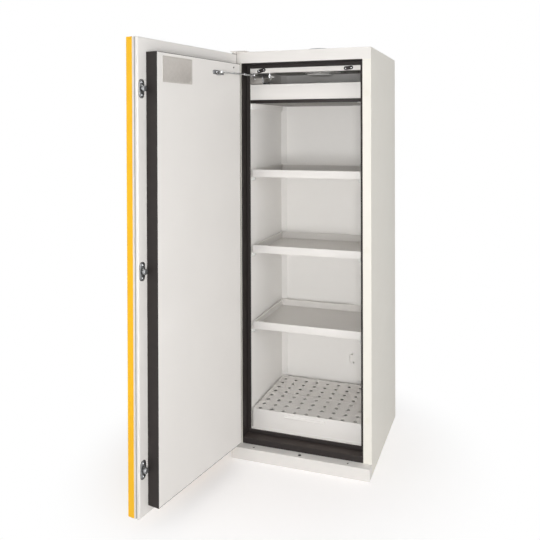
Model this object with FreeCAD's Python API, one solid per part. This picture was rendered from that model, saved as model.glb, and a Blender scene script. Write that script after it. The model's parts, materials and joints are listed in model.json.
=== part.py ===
import FreeCAD, Part
import os
from FreeCAD import Vector

# Fire-resistant cabinet for flammable liquids with one hinged door, drawn standing open.
# Lengths are millimetres. X runs from the hinge side to the latch side, Y from front to
# back, Z up. Pieces are drawn from the middle of the width, from the front plane of the
# body (y = 0) and from the floor. They are moved back on saving, so that the origin is
# the middle of the footprint. Door pieces are drawn closed and then swung open.

# Body
cabinet_width = 600.0
cabinet_height = 1730.0
cabinet_depth = 548.0
skin = 1.2
base_height = 50.0
sill_projection = 40.0
sill_sheet = 1.5
stile_width = 35.0
stile_return = 12.0
header_height = 48.0
rear_wall = 80.0
base_sheet = 2.0

# Seal frame round the opening
seal_leg = 3.0
seal_recess = 46.0
seal_ledge = 16.0
seal_ledge_thickness = 6.0
seal_bottom_height = 25.0

# Inner lining
liner = 1.0
liner_setback = 4.0
ceiling_setback = 2.0
lining_front = seal_recess + seal_ledge_thickness

# Levelling feet
foot_inset = 70.0
foot_thread_radius = 6.0
foot_pad_radius = 20.0
foot_pad_height = 6.0
foot_length = 44.0
foot_boss_radius = 12.0
foot_boss_height = 28.0
foot_hole_gap = 2.0
thread_clearance = 0.05

# Sill holes
sill_hole_radius = 4.5
sill_hole_offset = 205.0
sill_middle_hole_radius = 7.5
sill_hole_setback = 20.0

# Door leaf
door_open_angle = 100.0
leaf_gap = 8.0
leaf_thickness = 52.0
leaf_floor_gap = 4.0
leaf_top_gap = 8.0
leaf_skin_depth = 28.0
leaf_band_depth = 7.5
leaf_groove_depth = 6.5
leaf_groove_inset = 4.5
leaf_band_inset = 0.6
leaf_edge_radius = 6.0
leaf_corner_radius = 2.5
leaf_ring_width = 10.0
edge_seal_thickness = 2.5

# Hinge pins, measured from the hinge side edge and the front plane
hinge_inset = 9.0
hinge_setback = 15.0
hinge_pin_radius = 5.0
hinge_pin_depth = 22.0
hinge_collar_radius = 8.0
hinge_clearance = 0.05
hinge_thrust_gap = 0.3
hinge_bore_gap = 1.0
hinge_block_length = 34.0
hinge_block_inset = 0.5
hinge_block_depth = 17.0
hinge_block_height = 40.0
hinge_plate_thickness = 2.5
hinge_plate_length = 72.0
hinge_plate_front = 30.0
hinge_plate_back = 60.0
hinge_plate_overhang = 5.0
hinge_plate_corner = 6.0

# Insulating block on the inner face of the leaf
block_thickness = 49.0
block_free_margin = 44.0
block_hinge_margin = 48.0
block_bottom_margin = 30.0
block_top_margin = 50.0
block_rim = 3.0
block_rim_radius = 1.0
block_side_thickness = 4.0
block_side_drop = 0.5
block_face_inset = 1.5

# Latching: three heads on one bar, pulled up by the lever
latch_inset = 20.0
latch_shares = (0.12717, 0.52543, 0.89133)
latch_travel = 12.0
latch_plate_width = 24.0
latch_plate_height = 64.0
latch_plate_thickness = 2.5
latch_screw_spacing = 45.0
latch_screw_radius = 3.8
latch_screw_height = 1.6
latch_pin_radius = 4.0
latch_head_radius = 10.0
latch_head_height = 8.0
latch_head_round = 2.5
latch_reach = 18.0
latch_bar_width = 14.0
latch_bar_thickness = 4.0
latch_bar_overrun = 45.0
latch_gap = 0.5
keeper_depth = 16.0
keeper_wall = 1.5
keeper_gap = 1.2

# Lever handle and lock on the outside
lever_height = 1010.0
lever_inset = 48.0
lever_plate_width = 38.0
lever_plate_below = 32.0
lever_plate_above = 82.0
lever_plate_thickness = 8.0
lever_plate_round = 3.0
lever_face_gap = 0.4
lever_boss_radius = 11.0
lever_boss_length = 34.0
lever_length = 125.0
lever_grip_radius = 9.0
lever_spindle_radius = 5.0
lever_spindle_length = 14.0
lock_rise = 52.0
lock_radius = 11.0
lock_length = 12.0
lock_proud = 1.0
lock_slot_width = 2.0
lock_slot_depth = 2.0
lock_slot_length = 10.0
spindle_hole_gap = 1.0
spindle_end_gap = 2.0
turn_clearance = 0.05

# Blank plate on the block
plate_width = 163.0
plate_height = 93.0
plate_side_margin = 29.0
plate_top_margin = 12.0
plate_thickness = 0.8
rivet_radius = 3.0
rivet_height = 1.0
rivet_inset = 6.0

# Telescopic door stay
stay_door_reach = 207.0
stay_door_drop = 47.0
stay_standoff = 20.0
stay_pivot_reach = 93.0
stay_pivot_y = 180.0
stay_pivot_drop = 26.0
stay_fitting = 22.0
stay_end_gap = 14.0
stay_rod_radius = 3.0
stay_tube_wall = 0.8
stay_neck = 8.0
stay_tongue_radius = 3.5
stay_eye_radius = 7.0
stay_eye_height = 12.0
stay_post_radius = 5.0
stay_post_gap = 0.3
stay_clearance = 0.3
stay_stop_gap = 0.5
stay_ball_radius = 6.0
stay_plate_inner = 41.0
stay_plate_outer = 31.0
stay_plate_height = 17.0
stay_plate_thickness = 3.0
stay_arm_width = 12.0
stay_arm_thickness = 3.0
stay_ball_gap = 1.8
stay_pin_radius = 3.0
stay_bracket_width = 46.0
stay_bracket_depth = 34.0
stay_bracket_thickness = 3.0

# Upper compartment
lintel_drop = 22.0
lintel_height = 20.0
lintel_depth = 20.0
cap_width = 40.0
cap_height = 16.0
cap_offset = 194.0
cap_thickness = 1.5
fascia_drop = 71.0
fascia_height = 67.0
fascia_fold = 14.0
grille_drop = 154.0
grille_thickness = 1.5
grille_hole = 4.0
grille_pitch = 26.0
grille_margin = 24.0
rail_height = 24.0
rail_thickness = 4.0
rail_front = 60.0
rail_back_inset = 68.0
release_width = 46.0
release_depth = 60.0
release_drop = 41.0
release_height = 28.0
release_front = 62.0
release_round = 2.0

# Exhaust
spigot_radius = 55.0
spigot_wall = 1.5
spigot_rise = 34.0
spigot_rear_inset = 263.0
spigot_flange_radius = 70.0
spigot_flange_thickness = 2.0
valve_frame_width = 157.0
valve_frame_thickness = 4.0
valve_disc_radius = 58.0
valve_disc_thickness = 5.0
valve_travel = 11.0
valve_seat_gap = 0.5
valve_stem_radius = 4.0
valve_cap_radius = 8.0
valve_cap_height = 3.0
valve_bar_width = 12.0

# Supply air duct in the rear corner
duct_width = 134.0
duct_depth = 26.0
duct_bottom = 285.0
duct_neck_width = 94.0
duct_chamfer = 12.0
duct_foot = 184.0
duct_sheet = 1.0
port_length = 21.0
port_height = 43.0
port_depth = 22.0
port_chamfer = 8.0
port_level = 293.0
corner_strip = 22.0

# Shelves
shelf_shares = (0.30347, 0.49653, 0.68786)
shelf_height = 34.0
shelf_sheet = 1.2
shelf_rim = 9.0
shelf_side_gap = 7.0
shelf_front = 60.0
shelf_back_gap = 32.0
rest_radius = 7.0
rest_reach = 18.0
rest_front = 72.0
rest_back_inset = 68.0
rest_gap = 0.3

# Spill tray and its lift-out insert
tray_front_height = 86.0
tray_sheet = 1.5
tray_front = 60.0
tray_side_gap = 7.0
tray_back_gap = 30.0
tray_floor_gap = 0.3
insert_leg_gap = 0.3
insert_sheet = 1.5
insert_gap = 1.0
insert_level_drop = 1.0
insert_hole_radius = 7.5
insert_columns = 9
insert_rows = 8
insert_row_start = 0.25
lip_left = -96.0
lip_right = 85.0
lip_drop = 10.0
lip_height = 13.0
lip_thickness = 3.0

# Worked out from the sizes above
half_width = cabinet_width / 2
front_shift = -(cabinet_depth - sill_projection) / 2
opening_half = half_width - stile_width
header_bottom = cabinet_height - header_height
ledge_half = opening_half - seal_leg - seal_ledge
ledge_bottom = base_height + seal_bottom_height + seal_ledge
ledge_top = header_bottom - seal_leg - seal_ledge
lining_half = ledge_half + liner_setback
lining_bottom = ledge_bottom
lining_top = ledge_top + ceiling_setback
lining_back = cabinet_depth - rear_wall
lintel_bottom = lining_top - lintel_drop
fascia_top = lining_top - fascia_drop
fascia_bottom = fascia_top - fascia_height
grille_level = lining_top - grille_drop
rail_bottom = grille_level - rail_height
rail_back = lining_back - rail_back_inset
rest_back = lining_back - rest_back_inset
release_top = lining_top - release_drop
release_bottom = release_top - release_height
spigot_centre_y = cabinet_depth - spigot_rear_inset
shelf_levels = [share * cabinet_height for share in shelf_shares]
latch_levels = [share * cabinet_height for share in latch_shares]
leaf_back = -leaf_gap
leaf_front = -leaf_gap - leaf_thickness
leaf_bottom = base_height + leaf_floor_gap
leaf_top = cabinet_height - leaf_top_gap
hinge_axis = Vector(-half_width + hinge_inset, -hinge_setback, 0)
block_left = -half_width + block_hinge_margin
block_right = half_width - block_free_margin
block_back = leaf_back + block_thickness
block_bottom = leaf_bottom + block_bottom_margin
block_top = leaf_top - block_top_margin
plate_right = block_right - plate_side_margin
plate_left = plate_right - plate_width
plate_top = block_top - plate_top_margin
plate_bottom = plate_top - plate_height
stay_door_x = -half_width + stay_door_reach
stay_door_level = block_top - stay_door_drop
stay_pivot_x = -half_width + stay_pivot_reach
stay_pivot_level = lining_top - stay_pivot_drop
latch_x = half_width - latch_inset
lever_x = half_width - lever_inset
lever_y = leaf_front - lever_plate_thickness
lock_height = lever_height + lock_rise
edge_find = 0.1


def box(x0, x1, y0, y1, z0, z1):
    return Part.makeBox(x1 - x0, y1 - y0, z1 - z0, Vector(x0, y0, z0))


def bar(radius, start, end):
    way = end - start
    return Part.makeCylinder(radius, way.Length, start, way)


def joined(pieces):
    whole = pieces[0]
    if len(pieces) > 1:
        whole = whole.multiFuse(pieces[1:])
    return whole.removeSplitter()


def group(pieces):
    return Part.makeCompound(pieces)


def mirrored(shape):
    return shape.mirror(Vector(0, 0, 0), Vector(1, 0, 0))


def upright_edges(shape):
    return [edge for edge in shape.Edges if edge.BoundBox.ZLength > edge.Length - edge_find]


def edges_before(shape, y):
    return [edge for edge in shape.Edges if edge.CenterOfMass.y < y + edge_find]


def edges_behind(shape, y):
    return [edge for edge in shape.Edges if edge.CenterOfMass.y > y - edge_find]


def edges_left_of(shape, x):
    return [edge for edge in shape.Edges if edge.CenterOfMass.x < x + edge_find]


def plan_prism(points, y0, y1):
    corners = [Vector(x, y0, z) for x, z in points]
    corners.append(corners[0])
    face = Part.Face(Part.makePolygon(corners))
    return face.extrude(Vector(0, y1 - y0, 0))


def slot_prism(x, z, width, height, y0, y1):
    # A slot with round ends, standing upright, that runs from y0 to y1.
    radius = width / 2
    straight = height / 2 - radius
    middle = box(x - radius, x + radius, y0, y1, z - straight, z + straight)
    ends = [bar(radius, Vector(x, y0, z + s * straight), Vector(x, y1, z + s * straight)) for s in (-1, 1)]
    return joined([middle] + ends)


# Body skins

def side_panel_left():
    sheet = box(-half_width, -half_width + skin, 0, cabinet_depth, 0, cabinet_height)
    stile = box(-half_width, -opening_half, 0, skin, base_height, header_bottom)
    turned = box(-opening_half - skin, -opening_half, 0, stile_return, base_height, header_bottom)
    return joined([sheet, stile, turned])


def side_panel_right():
    panel = mirrored(side_panel_left())
    for level in latch_levels:
        panel = panel.cut(keeper_opening(level, 0, skin))
    return panel


def roof_panel():
    inner = half_width - skin
    sheet = box(-inner, inner, skin, cabinet_depth - skin, cabinet_height - skin, cabinet_height)
    return sheet.cut(spigot_bore(cabinet_height - skin, cabinet_height))


def rear_panel():
    inner = half_width - skin
    return box(-inner, inner, cabinet_depth - skin, cabinet_depth, base_sheet, cabinet_height)


def header_rail():
    inner = half_width - skin
    face = box(-inner, inner, 0, skin, header_bottom, cabinet_height)
    lip = box(-opening_half, opening_half, 0, stile_return, header_bottom, header_bottom + skin)
    return joined([face, lip])


def foot_places():
    x = half_width - foot_inset
    near = foot_inset
    far = cabinet_depth - foot_inset
    return [(-x, near), (x, near), (-x, far), (x, far)]


def base_pan():
    inner = half_width - skin
    back = cabinet_depth - skin
    pan = box(-inner, inner, 0, back, 0, base_height)
    wall = base_sheet
    pan = pan.cut(box(-inner + wall, inner - wall, wall, back - wall, wall, base_height - wall))
    hole = foot_pad_radius + foot_hole_gap
    bosses = []
    for x, y in foot_places():
        pan = pan.cut(bar(hole, Vector(x, y, 0), Vector(x, y, wall)))
        low = Vector(x, y, base_height - foot_boss_height)
        high = Vector(x, y, base_height - wall)
        boss = bar(foot_boss_radius, low, high)
        bosses.append(boss.cut(bar(foot_thread_radius + thread_clearance, low, high)))
    return joined([pan] + bosses)


def levelling_feet():
    feet = []
    for x, y in foot_places():
        pad = bar(foot_pad_radius, Vector(x, y, 0), Vector(x, y, foot_pad_height))
        stud = bar(foot_thread_radius, Vector(x, y, 0), Vector(x, y, foot_length))
        feet.append(joined([pad, stud]))
    return group(feet)


def sill_box():
    sheet = sill_sheet
    inner = half_width - sheet
    outer = box(-half_width, half_width, -sill_projection, 0, 0, base_height)
    hollow = box(-inner, inner, -sill_projection + sheet, 0, 0, base_height - sheet)
    sill = outer.cut(hollow)
    side = sill_hole_offset
    for x, radius in ((-side, sill_hole_radius), (0.0, sill_middle_hole_radius), (side, sill_hole_radius)):
        low = Vector(x, -sill_hole_setback, base_height - sheet)
        sill = sill.cut(bar(radius, low, low + Vector(0, 0, sheet)))
    pin_low = Vector(hinge_axis.x, hinge_axis.y, base_height - sheet)
    return sill.cut(bar(hinge_pin_radius + hinge_clearance, pin_low, pin_low + Vector(0, 0, sheet)))


# Seal frame

def seal_ring():
    front_z = (base_height, header_bottom)
    ring = box(-opening_half, opening_half, 0, lining_front, front_z[0], front_z[1])
    recess_half = opening_half - seal_leg
    recess_bottom = base_height + seal_bottom_height
    recess_top = header_bottom - seal_leg
    ring = ring.cut(box(-recess_half, recess_half, 0, seal_recess, recess_bottom, recess_top))
    return ring.cut(box(-ledge_half, ledge_half, 0, lining_front, ledge_bottom, ledge_top))


def seal_corners():
    bottom = base_height + seal_bottom_height
    top = header_bottom - seal_leg
    recess_half = opening_half - seal_leg
    low = [(opening_half, base_height), (recess_half, bottom), (ledge_half, ledge_bottom)]
    high = [(opening_half, header_bottom), (recess_half, top), (ledge_half, ledge_top)]
    return low, high


def seal_bottom():
    low, high = seal_corners()
    outline = low + [(-x, z) for x, z in reversed(low)]
    return seal_ring().common(plan_prism(outline, 0, lining_front))


def seal_top():
    low, high = seal_corners()
    outline = high + [(-x, z) for x, z in reversed(high)]
    return seal_ring().common(plan_prism(outline, 0, lining_front))


def seal_right():
    low, high = seal_corners()
    outline = low + list(reversed(high))
    return seal_ring().common(plan_prism(outline, 0, lining_front))


def seal_left():
    return mirrored(seal_right())


# Insulating boards behind the skins

def side_board():
    inner = half_width - skin
    board = box(lining_half + liner, inner, lining_front, lining_back, base_height, lining_top + liner)
    front = box(opening_half + skin, inner, skin, lining_front, base_height, header_bottom)
    return joined([board, front])


def board_left():
    return mirrored(side_board())


def board_right():
    board = side_board()
    for level in latch_levels:
        board = board.cut(keeper_body(level))
    return board


def board_rear():
    inner = half_width - skin
    top = lining_top + liner
    return box(-inner, inner, lining_back, cabinet_depth - skin, base_height, top)


def board_top():
    inner = half_width - skin
    top = cabinet_height - skin
    board = box(-inner, inner, lining_front, cabinet_depth - skin, lining_top + liner, top)
    front = box(-inner, inner, skin, lining_front, header_bottom + skin, top)
    board = joined([board, front])
    return board.cut(spigot_bore(lining_top + liner, cabinet_height - skin))


def board_floor():
    half = lining_half + liner
    return box(-half, half, lining_front, lining_back, base_height, lining_bottom - liner)


# Inner lining

def liner_right():
    wall = box(lining_half, lining_half + liner, lining_front, lining_back, lining_bottom, lining_top)
    near = lining_half - corner_strip
    upright = box(lining_half - rail_thickness, lining_half, rail_front, rail_back, rail_bottom, grille_level)
    ledge = box(near, lining_half, rail_front, rail_back, grille_level - liner, grille_level)
    return joined([wall, corner_wedge(), upright, ledge])


def corner_wedge():
    # A strip set at half a right angle across the upright rear corner.
    corner = Vector(lining_half, lining_back, lining_bottom)
    side = corner - Vector(0, corner_strip, 0)
    rear = corner - Vector(corner_strip, 0, 0)
    outline = Part.makePolygon([corner, side, rear, corner])
    return Part.Face(outline).extrude(Vector(0, 0, lining_top - lining_bottom))


def liner_left():
    return mirrored(liner_right())


def liner_rear():
    inner = lining_half - corner_strip
    return box(-inner, inner, lining_back - liner, lining_back, lining_bottom, lining_top)


def liner_ceiling():
    half = lining_half + liner
    sheet = box(-half, half, lining_front, lining_back, lining_top, lining_top + liner)
    return sheet.cut(spigot_bore(lining_top, lining_top + liner))


def liner_floor():
    half = lining_half + liner
    return box(-half, half, lining_front, lining_back, lining_bottom - liner, lining_bottom)


# Upper compartment

def lintel():
    back = lining_front + lintel_depth
    top = lintel_bottom + lintel_height
    return box(-lining_half, lining_half, lining_front, back, lintel_bottom, top)


def lintel_caps():
    caps = []
    for side in (-1, 1):
        x = side * cap_offset
        radius = cap_height / 2
        z = lintel_bottom + lintel_height / 2
        reach = cap_width / 2 - radius
        y0 = lining_front - cap_thickness
        pieces = [box(x - reach, x + reach, y0, lining_front, z - radius, z + radius)]
        for end in (x - reach, x + reach):
            pieces.append(bar(radius, Vector(end, y0, z), Vector(end, lining_front, z)))
        caps.append(joined(pieces))
    return group(caps)


def fascia_panel():
    front = rail_front
    face = box(-lining_half, lining_half, front, front + liner, fascia_bottom, fascia_top)
    low = box(-lining_half, lining_half, front, front + fascia_fold, fascia_bottom, fascia_bottom + liner)
    high = box(-lining_half, lining_half, front, front + fascia_fold, fascia_top - liner, fascia_top)
    inner = lining_half - corner_strip
    strip = box(-inner, inner, front, front + liner, grille_level + grille_thickness, fascia_bottom)
    return joined([face, low, high, strip])


def air_grille():
    inner = lining_half - corner_strip
    top = grille_level + grille_thickness
    sheet = box(-inner, inner, rail_front, lining_back - liner, grille_level, top)
    across = int((2 * inner - 2 * grille_margin) // grille_pitch)
    deep = int((lining_back - rail_front - 2 * grille_margin) // grille_pitch)
    holes = []
    for column in range(across + 1):
        for row in range(deep + 1):
            x = (column - across / 2) * grille_pitch
            y = rail_front + grille_margin + row * grille_pitch
            holes.append(bar(grille_hole, Vector(x, y, grille_level), Vector(x, y, top)))
    return sheet.cut(group(holes))


def release_housing():
    right = -lining_half + release_width
    back = release_front + release_depth
    case = box(-lining_half, right, release_front, back, release_bottom, release_top)
    return case.makeFillet(release_round, case_edges(case, right))


def case_edges(case, right):
    return [edge for edge in case.Edges if edge.CenterOfMass.x > right - edge_find]


# Exhaust

def spigot_bore(z0, z1):
    return bar(spigot_radius, Vector(0, spigot_centre_y, z0), Vector(0, spigot_centre_y, z1))


def exhaust_spigot():
    low = Vector(0, spigot_centre_y, lining_top)
    roof = Vector(0, spigot_centre_y, cabinet_height)
    high = Vector(0, spigot_centre_y, cabinet_height + spigot_rise)
    tube = bar(spigot_radius, low, high)
    flange = bar(spigot_flange_radius, roof, roof + Vector(0, 0, spigot_flange_thickness))
    return joined([tube, flange]).cut(bar(spigot_radius - spigot_wall, low, high))


def valve_frame():
    half = valve_frame_width / 2
    y = spigot_centre_y
    z0 = lining_top - valve_frame_thickness
    plate = box(-half, half, y - half, y + half, z0, lining_top)
    bore = spigot_radius - spigot_wall
    plate = plate.cut(bar(bore, Vector(0, y, z0), Vector(0, y, lining_top)))
    bridge = box(-bore, bore, y - valve_bar_width / 2, y + valve_bar_width / 2, z0, lining_top)
    frame = joined([plate, bridge])
    guide = bar(valve_stem_radius + turn_clearance, Vector(0, y, z0), Vector(0, y, lining_top))
    return frame.cut(guide)


def exhaust_valve():
    y = spigot_centre_y
    drop = valve_travel + valve_seat_gap
    under = lining_top - valve_frame_thickness - drop
    low = Vector(0, y, under - valve_disc_thickness)
    disc = bar(valve_disc_radius, low, Vector(0, y, under))
    stem_top = Vector(0, y, lining_top + valve_seat_gap)
    stem = bar(valve_stem_radius, Vector(0, y, under), stem_top)
    cap = bar(valve_cap_radius, stem_top, stem_top + Vector(0, 0, valve_cap_height))
    return joined([disc, stem, cap])


# Supply air

def duct_outline(left, neck_left, inset):
    # Open at the foot and against the side and rear lining.
    right = lining_half
    knee = duct_bottom - duct_chamfer
    return [(right, duct_foot), (neck_left + inset, duct_foot), (neck_left + inset, knee + inset),
            (left + inset, duct_bottom + inset), (left + inset, grille_level), (right, grille_level)]


def supply_duct():
    right = lining_half
    left = right - duct_width
    neck_left = right - duct_neck_width
    back = lining_back - liner
    front = back - duct_depth
    outer = plan_prism(duct_outline(left, neck_left, 0), front, back)
    hollow = plan_prism(duct_outline(left, neck_left, duct_sheet), front + duct_sheet, back)
    case = outer.cut(hollow).cut(liner_right())
    middle = (front + back) / 2
    near = middle - port_depth / 2
    rise = port_height / 2
    port = box(left - port_length, left, near, near + port_depth, port_level - rise, port_level + rise)
    port = port.makeChamfer(port_chamfer, edges_left_of(port, left - port_length))
    return joined([case, port])


# Shelves

def tray_shape(half, y0, y1, z0, z1, sheet, rim):
    outer = box(-half, half, y0, y1, z0, z1)
    hollow = box(-half + sheet, half - sheet, y0 + sheet, y1 - sheet, z0 + sheet, z1)
    shell = outer.cut(hollow)
    if rim <= 0:
        return shell
    lip = box(-half, half, y0, y1, z1 - sheet, z1)
    lip = lip.cut(box(-half + rim, half - rim, y0 + rim, y1 - rim, z1 - sheet, z1))
    return joined([shell, lip])


def shelf(level):
    half = lining_half - shelf_side_gap
    back = lining_back - shelf_back_gap
    return tray_shape(half, shelf_front, back, level, level + shelf_height, shelf_sheet, shelf_rim)


def shelf_rests():
    rests = []
    for level in shelf_levels:
        for side in (-1, 1):
            for y in (rest_front, rest_back):
                end = lining_half - rest_reach
                z = level - rest_radius - rest_gap
                start = Vector(lining_half, y, z)
                peg = bar(rest_radius, start, Vector(end, y, z))
                rests.append(peg if side > 0 else mirrored(peg))
    return group(rests)


# Spill tray

def spill_tray():
    half = lining_half - tray_side_gap
    bottom = lining_bottom + tray_floor_gap
    top = lining_bottom + tray_front_height
    back = lining_back - tray_back_gap
    tray = tray_shape(half, tray_front, back, bottom, top, tray_sheet, 0)
    lip_top = top - lip_drop
    lip = box(lip_left, lip_right, tray_front - lip_thickness, tray_front, lip_top - lip_height, lip_top)
    # The lip stays a solid of its own, so that the tray's collision walls stay thin.
    return group([tray, lip])


def tray_insert():
    top = lining_bottom + tray_front_height - insert_level_drop
    half = lining_half - tray_side_gap - tray_sheet - insert_gap
    y0 = tray_front + tray_sheet + insert_gap
    y1 = lining_back - tray_back_gap - tray_sheet - insert_gap
    plate = box(-half, half, y0, y1, top - insert_sheet, top)
    foot = lining_bottom + tray_floor_gap + tray_sheet + insert_leg_gap
    side = box(half - insert_sheet, half, y0, y1, foot, top)
    sides = [side, mirrored(side)]
    step_x = 2 * half / insert_columns
    step_y = (y1 - y0) / insert_rows
    holes = []
    for column in range(insert_columns):
        for row in range(insert_rows):
            x = -half + (column + 0.5) * step_x
            y = y0 + (row + insert_row_start) * step_y
            holes.append(bar(insert_hole_radius, Vector(x, y, top - insert_sheet), Vector(x, y, top)))
    return joined([plate.cut(group(holes))] + sides)


# Fixed hinge parts

def hinge_plate():
    x0 = -half_width - hinge_plate_overhang
    z = cabinet_height
    x1 = x0 + hinge_plate_length
    plate = box(x0, x1, -hinge_plate_front, hinge_plate_back, z, z + hinge_plate_thickness)
    front = [edge for edge in upright_edges(plate) if edge.CenterOfMass.y < 0]
    plate = plate.makeFillet(hinge_plate_corner, front)
    top = hinge_axis + Vector(0, 0, z)
    collar = bar(hinge_collar_radius, hinge_axis + Vector(0, 0, leaf_top + hinge_thrust_gap), top)
    pin = bar(hinge_pin_radius, hinge_axis + Vector(0, 0, leaf_top - hinge_pin_depth), top)
    return joined([plate, collar, pin])


def floor_pin():
    low = hinge_axis + Vector(0, 0, base_height - sill_sheet)
    deck = hinge_axis + Vector(0, 0, base_height)
    washer = bar(hinge_collar_radius, deck, hinge_axis + Vector(0, 0, leaf_bottom - hinge_thrust_gap))
    pin = bar(hinge_pin_radius, low, hinge_axis + Vector(0, 0, leaf_bottom + hinge_pin_depth))
    return joined([washer, pin])


def keeper_opening(level, y0, y1):
    # The head passes the round hole and then slides up the narrow slot.
    radius = latch_head_radius + keeper_gap
    entry = bar(radius, Vector(latch_x, y0, level), Vector(latch_x, y1, level))
    half = latch_pin_radius + keeper_gap
    top = level + latch_travel
    slot = box(latch_x - half, latch_x + half, y0, y1, level, top)
    end = bar(half, Vector(latch_x, y0, top), Vector(latch_x, y1, top))
    return joined([entry, slot, end])


def keeper_body(level):
    reach = latch_head_radius + keeper_gap + keeper_wall
    top = level + latch_travel + reach
    return box(latch_x - reach, latch_x + reach, skin, skin + keeper_depth, level - reach, top)


def keepers():
    cups = []
    for level in latch_levels:
        body = keeper_body(level)
        reach = latch_head_radius + keeper_gap
        y0 = skin + keeper_wall
        y1 = skin + keeper_depth - keeper_wall
        hollow = box(latch_x - reach, latch_x + reach, y0, y1, level - reach, level + latch_travel + reach)
        cups.append(body.cut(hollow).cut(keeper_opening(level, skin, skin + keeper_wall)))
    return group(cups)


def stay_wall_bracket():
    # Plate under the ceiling with a post that carries the swivel of the stay.
    x = stay_pivot_x
    y = stay_pivot_y
    left = -lining_half
    right = x + stay_bracket_width / 2
    z = lining_top
    reach = stay_bracket_depth / 2
    plate = box(left, right, y - reach, y + reach, z - stay_bracket_thickness, z)
    half = stay_eye_height / 2
    foot = stay_pivot + stay_turn_axis * (half + stay_post_gap)
    rise = (z - stay_bracket_thickness / 2 - stay_pivot_level) / stay_turn_axis.z
    post = bar(stay_post_radius, foot, stay_pivot + stay_turn_axis * rise)
    pin = bar(stay_pin_radius, stay_pivot - stay_turn_axis * half, foot)
    return joined([plate, post, pin])


# Door leaf, drawn closed

def leaf_box(inset, y0, y1):
    x = half_width - inset
    return box(-x, x, y0, y1, leaf_bottom + inset, leaf_top - inset)


def hinge_block_box(level):
    x0 = -half_width + hinge_block_inset
    y1 = leaf_back - skin
    y0 = y1 - hinge_block_depth
    return box(x0, x0 + hinge_block_length, y0, y1, level, level + hinge_block_height)


def hinge_levels():
    return (leaf_bottom, leaf_top - hinge_block_height)


def door_skin():
    back = leaf_front + leaf_skin_depth
    outer = leaf_box(0, leaf_front, back)
    outer = outer.makeFillet(leaf_corner_radius, edges_before(outer, leaf_front))
    skin_shell = outer.cut(leaf_box(skin, leaf_front + skin, back))
    spindle = Vector(lever_x, leaf_front, lever_height)
    lock = Vector(lever_x, leaf_front, lock_height)
    across = Vector(0, skin, 0)
    skin_shell = skin_shell.cut(bar(lever_spindle_radius + spindle_hole_gap, spindle, spindle + across))
    return skin_shell.cut(bar(lock_radius + spindle_hole_gap, lock, lock + across))


def door_inner_pan():
    band_front = leaf_front + leaf_skin_depth
    groove_front = band_front + leaf_band_depth
    edge_front = groove_front + leaf_groove_depth
    band = leaf_box(leaf_band_inset, band_front, groove_front)
    neck = leaf_box(leaf_groove_inset, groove_front, edge_front)
    rim = leaf_box(0, edge_front, leaf_back)
    rim = rim.makeFillet(leaf_edge_radius, edges_behind(rim, leaf_back))
    pan = joined([band, neck, rim])
    pan = pan.cut(leaf_box(leaf_ring_width, band_front, leaf_back - skin))
    for level in hinge_levels():
        pan = pan.cut(hinge_block_box(level))
    for level in latch_levels:
        pan = pan.cut(latch_slot(level, leaf_back - skin, leaf_back))
    return pan.cut(latch_cavity())


def door_edge_seal():
    front = leaf_front + leaf_skin_depth + leaf_band_depth
    back = front + leaf_groove_depth
    strip = leaf_box(leaf_groove_inset - edge_seal_thickness, front, back)
    strip = strip.cut(leaf_box(leaf_groove_inset, front, back))
    for level in hinge_levels():
        strip = strip.cut(hinge_block_box(level))
    return strip


def door_core():
    wide = leaf_box(skin, leaf_front + skin, leaf_front + leaf_skin_depth)
    deep = leaf_box(leaf_ring_width, leaf_front + leaf_skin_depth, leaf_back - skin)
    core = joined([wide, deep])
    for level in hinge_levels():
        core = core.cut(hinge_block_box(level))
    core = core.cut(latch_cavity())
    spindle = Vector(lever_x, leaf_front, lever_height)
    lock = Vector(lever_x, leaf_front, lock_height)
    spindle_end = spindle + Vector(0, lever_spindle_length + spindle_end_gap, 0)
    lock_end = lock + Vector(0, lock_length + spindle_end_gap, 0)
    core = core.cut(bar(lever_spindle_radius + spindle_hole_gap, spindle, spindle_end))
    return core.cut(bar(lock_radius + spindle_hole_gap, lock, lock_end))


def hinge_blocks():
    blocks = []
    for index, level in enumerate(hinge_levels()):
        block = hinge_block_box(level)
        depth = hinge_pin_depth + hinge_bore_gap
        z0 = level if index == 0 else level + hinge_block_height - depth
        start = hinge_axis + Vector(0, 0, z0)
        bore = bar(hinge_pin_radius + hinge_clearance, start, start + Vector(0, 0, depth))
        blocks.append(block.cut(bore))
    return group(blocks)


# Latching

def latch_slot(level, y0, y1):
    width = 2 * (latch_pin_radius + latch_gap)
    height = 2 * latch_travel + width
    return slot_prism(latch_x, level, width, height, y0, y1)


def latch_cavity():
    half = latch_bar_width / 2 + latch_gap
    back = leaf_back - skin
    front = back - latch_bar_thickness - 2 * latch_gap
    low = latch_levels[0] - latch_bar_overrun - latch_travel
    high = latch_levels[-1] + latch_bar_overrun + 2 * latch_travel
    return box(latch_x - half, latch_x + half, front, back, low, high)


def latch_bar():
    back = leaf_back - skin - latch_gap
    front = back - latch_bar_thickness
    low = latch_levels[0] - latch_bar_overrun
    high = latch_levels[-1] + latch_bar_overrun
    half = latch_bar_width / 2
    pieces = [box(latch_x - half, latch_x + half, front, back, low, high)]
    tip = leaf_back + latch_reach
    for level in latch_levels:
        neck = Vector(latch_x, tip - latch_head_height, level)
        pin = bar(latch_pin_radius, Vector(latch_x, front, level), neck)
        head = bar(latch_head_radius, neck, Vector(latch_x, tip, level))
        head = head.makeFillet(latch_head_round, edges_behind(head, tip))
        pieces += [pin, head]
    return joined(pieces)


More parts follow.
